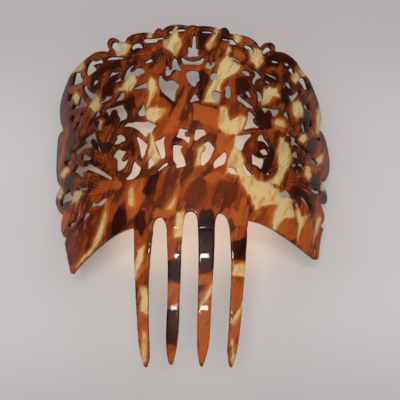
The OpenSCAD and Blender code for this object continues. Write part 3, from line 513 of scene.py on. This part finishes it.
def tortoiseshell():
    """Flames of colour under a clear polish, a little light passing through."""
    made = bpy.data.materials.new("tortoiseshell")
    made.use_nodes = True
    tree = made.node_tree
    shell = tree.nodes["Principled BSDF"]
    start = Tone(tree, None)

    def layer(name):
        return start.node("ShaderNodeAttribute", {"attribute_name": name}, out=2)

    def streaks(along_scale, across_scale, depth, detail, roughness):
        """Noise drawn out along the flames."""
        drawn = {0: length * along_scale, 1: width * across_scale, 2: depth}
        place = start.node("ShaderNodeCombineXYZ", None, drawn)
        settings = {"Vector": place, "Scale": 1.0, "Detail": detail, "Roughness": roughness}
        return start.node("ShaderNodeTexNoise", None, settings)

    flat_u, flat_v = layer("flat_u"), layer("flat_v")
    length = flat_u * LEAN_U + flat_v * LEAN_V
    width = flat_v * LEAN_U - flat_u * LEAN_V
    flame = streaks(0.045, 0.12, layer("below") * 0.06, 2.5, 0.5)
    fringe = streaks(0.10, 0.30, 3.0, 3.0, 0.55)
    shards = streaks(0.055, 0.30, 7.0, 1.5, 0.5)
    wander = (fringe - 0.5) * 4.5
    cream = (layer("cream") + wander).step(-0.35, 0.75)
    dark = (layer("dark") + wander).step(-0.4, 0.9)
    maroon = (layer("maroon") + wander).step(-0.4, 0.4) * (1.0 - shards.step(0.52, 0.56) * 0.55)
    orange = (layer("orange") + wander).step(-0.4, 0.5) * (1.0 - shards.step(0.56, 0.60) * 0.5)
    halo = (layer("cream") + wander).step(-2.2, 0.1) * 0.6
    # The engraved lines, the edge band and the veins are painted dark brown and let less light through.
    dark_lines = layer("groove").step(0.15, 0.9) * (0.9 - cream * 0.45)
    walls = layer("below").step(0.5, 1.1) * (1.0 - layer("below").step(1.9, 2.4)) * 0.92

    ground = flame.step(0.46, 0.54).between(BROWN, AMBER)
    ground = (fringe.step(0.54, 0.62) * 0.5).between(ground, HONEY)
    ground = (orange * 0.8).between(ground, ORANGE_AMBER)
    ground = (maroon * 0.8).between(ground, WINE)
    ground = (dark * 0.92).between(ground, NEAR_BLACK)
    ground = halo.between(ground, GOLD)
    ground = cream.between(ground, fringe.step(0.50, 0.62).between(IVORY, BUTTER))
    ground = dark_lines.between(ground, LINE_BROWN)
    ground = walls.between(ground, SAWN)
    tree.links.new(ground.socket, shell.inputs["Base Color"])
    clear = start.node("ShaderNodeBsdfTransparent", None, {"Color": (1.0, 0.66, 0.42, 1)})
    through = (0.24 + orange * 0.1 + cream * 0.12 - dark * 0.2) * (1.0 - dark_lines) * (1.0 - walls)
    body = start.node("ShaderNodeMixShader", None, {0: through, 1: Tone(tree, shell.outputs[0]), 2: clear})
    tree.links.new(body.socket, tree.nodes["Material Output"].inputs["Surface"])
    shell.inputs["Roughness"].default_value = 0.3
    shell.inputs["Specular IOR Level"].default_value = 0.15
    shell.inputs["IOR"].default_value = 1.5
    shell.inputs["Coat Weight"].default_value = 0.4
    shell.inputs["Coat Roughness"].default_value = 0.03
    return made


# ---- The four lengths ----
# The real comb is one piece of plastic. Its skin is stored in four lengths that share their seam
# points, so it still reads as one sheet, and each length stands for the regions under it.

# Where the skin is parted, on the flat sheet in millimetres.
CREST_FROM = 18
LEFT_UP_TO = -30
RIGHT_FROM = 18

LOWER = [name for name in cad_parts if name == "heel" or name[:5] in ("tooth", "wing_")]
LEFT = [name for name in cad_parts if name.startswith(("crest_left", "border_left"))]
MIDDLE = [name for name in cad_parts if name.startswith("crest_centre")]
RIGHT = [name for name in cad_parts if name.startswith(("crest_right", "border_right"))]


def part_off(piece, name, wanted):
    """A copy of the sheet that keeps only the faces whose middle is wanted."""
    other = piece.copy()
    other.data = piece.data.copy()
    other.name = other.data.name = name
    bpy.context.scene.collection.objects.link(other)
    cut = bmesh.new()
    cut.from_mesh(other.data)
    cut.faces.ensure_lookup_table()
    bmesh.ops.delete(cut, geom=[face for face in cut.faces if not wanted[face.index]], context="FACES")
    cut.to_mesh(other.data)
    cut.free()
    return other


sheet.data.materials.clear()
sheet.data.materials.append(tortoiseshell())
middles = np.empty(len(sheet.data.polygons) * 3, np.float32)
sheet.data.polygons.foreach_get("center", middles)
face_u, face_v = flat_place(middles.reshape(-1, 3).astype(float))[:2]
below_crest = face_v < CREST_FROM
lengths = [
    ("teeth_and_heel", below_crest, LOWER),
    ("crest_left", ~below_crest & (face_u < LEFT_UP_TO), LEFT),
    ("crest_middle", ~below_crest & (face_u >= LEFT_UP_TO) & (face_u < RIGHT_FROM), MIDDLE),
    ("crest_right", ~below_crest & (face_u >= RIGHT_FROM), RIGHT),
]
for name, wanted, nodes in lengths:
    length = part_off(sheet, name, wanted)
    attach(length, "root")
    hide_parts(*nodes)
bpy.data.objects.remove(sheet)

# ---- The table ----
# A sheet of pale card, soft and a little uneven, that the comb lies on. It is not part of the comb.
# Beyond the crest and beyond the tips of the teeth it is painted a little darker: painted shade where the
# light falls off.

# Half the width of the card, in metres.
REACH = 1.5


def card():
    made = bpy.data.materials.new("pale_card")
    made.use_nodes = True
    tree = made.node_tree
    face = tree.nodes["Principled BSDF"]
    start = Tone(tree, None)
    place = start.node("ShaderNodeTexCoord", out=3)
    fibre = start.node("ShaderNodeTexNoise", None, {"Vector": place, "Scale": 9.0, "Detail": 4.0})
    along = start.node("ShaderNodeSeparateXYZ", None, {0: place}, 1)
    card_tone_and_shade = fibre.step(0.3, 0.7).between(paint(194, 190, 189), paint(197, 194, 193))
    # Painted shade: the card is painted darker up beyond the crest and down beyond the tips of the teeth.
    card_tone_and_shade = along.step(0.03, 0.13).between(card_tone_and_shade, paint(180, 175, 174))
    card_tone_and_shade = (0.0 - along).step(0.06, 0.16).between(card_tone_and_shade, paint(168, 166, 164))
    tree.links.new(card_tone_and_shade.socket, face.inputs["Base Color"])
    face.inputs["Roughness"].default_value = 0.7
    return made


table = bpy.data.meshes.new("table")
corners = [(-REACH, -REACH, 0), (REACH, -REACH, 0), (REACH, REACH, 0), (-REACH, REACH, 0)]
table.from_pydata(corners, [], [(0, 1, 2, 3)])
table = bpy.data.objects.new("table", table)
table.data.materials.append(card())
bpy.context.scene.collection.objects.link(table)

# ---- Light and camera ----
# A bright room with soft light from both sides. Two narrow lamps overhead show in the polish of the
# teeth, and a small warm lamp under the comb stands for light that passes through the plastic.

world = bpy.data.worlds.new("room")
world.use_nodes = True
sky = world.node_tree.nodes["Background"]
sky.inputs["Color"].default_value = (0.98, 0.99, 1.0, 1)
sky.inputs["Strength"].default_value = 0.5
world.cycles_visibility.glossy = False
bpy.context.scene.world = world


def window(name, place, aim, size, power, seen=False, colour=(1, 1, 1)):
    """A soft lamp, turned straight down if it has no aim. Only a seen one shows in the polish."""
    light = bpy.data.lights.new(name, "AREA")
    light.shape = "RECTANGLE"
    light.size, light.size_y = size
    light.energy = power
    light.color = colour
    lamp = bpy.data.objects.new(name, light)
    bpy.context.scene.collection.objects.link(lamp)
    lamp.location = place
    if aim:
        lamp.rotation_euler = (Vector(aim) - Vector(place)).to_track_quat("-Z", "Y").to_euler()
    lamp.visible_camera = False
    lamp.visible_glossy = seen


for name, side in (("left_sky", -1.1), ("right_sky", 1.1)):
    window(name, (side, 0.3, 0.9), (0, 0, 0), (0.9, 0.7), 3.6)
window("far_strip", (-0.05, 0.025, 1.05), None, (0.42, 0.024), 2.1, seen=True)
window("near_strip", (-0.05, -0.28, 1.0), None, (0.42, 0.024), 2.1, seen=True)
window("glow_through", (0.0, 0.012, 0.018), None, (0.10, 0.10), 0.034, colour=(1.0, 0.76, 0.56))

# The camera looks almost straight down, from this distance in metres.
CAMERA_TARGET = Vector((0.004525, -0.0060, 0.03814))
CAMERA_DISTANCE = 0.3328

lens = bpy.data.cameras.new("camera")
lens.sensor_width = 36.0
lens.lens = 54.0
camera = bpy.data.objects.new("camera", lens)
bpy.context.scene.collection.objects.link(camera)
turn = Euler((math.radians(14.95), math.radians(-0.01), math.radians(-0.38)), "XYZ")
camera.rotation_euler = turn
camera.location = CAMERA_TARGET + turn.to_matrix() @ Vector((0, 0, CAMERA_DISTANCE))
bpy.context.scene.camera = camera
bpy.context.scene.view_settings.view_transform = "Standard"
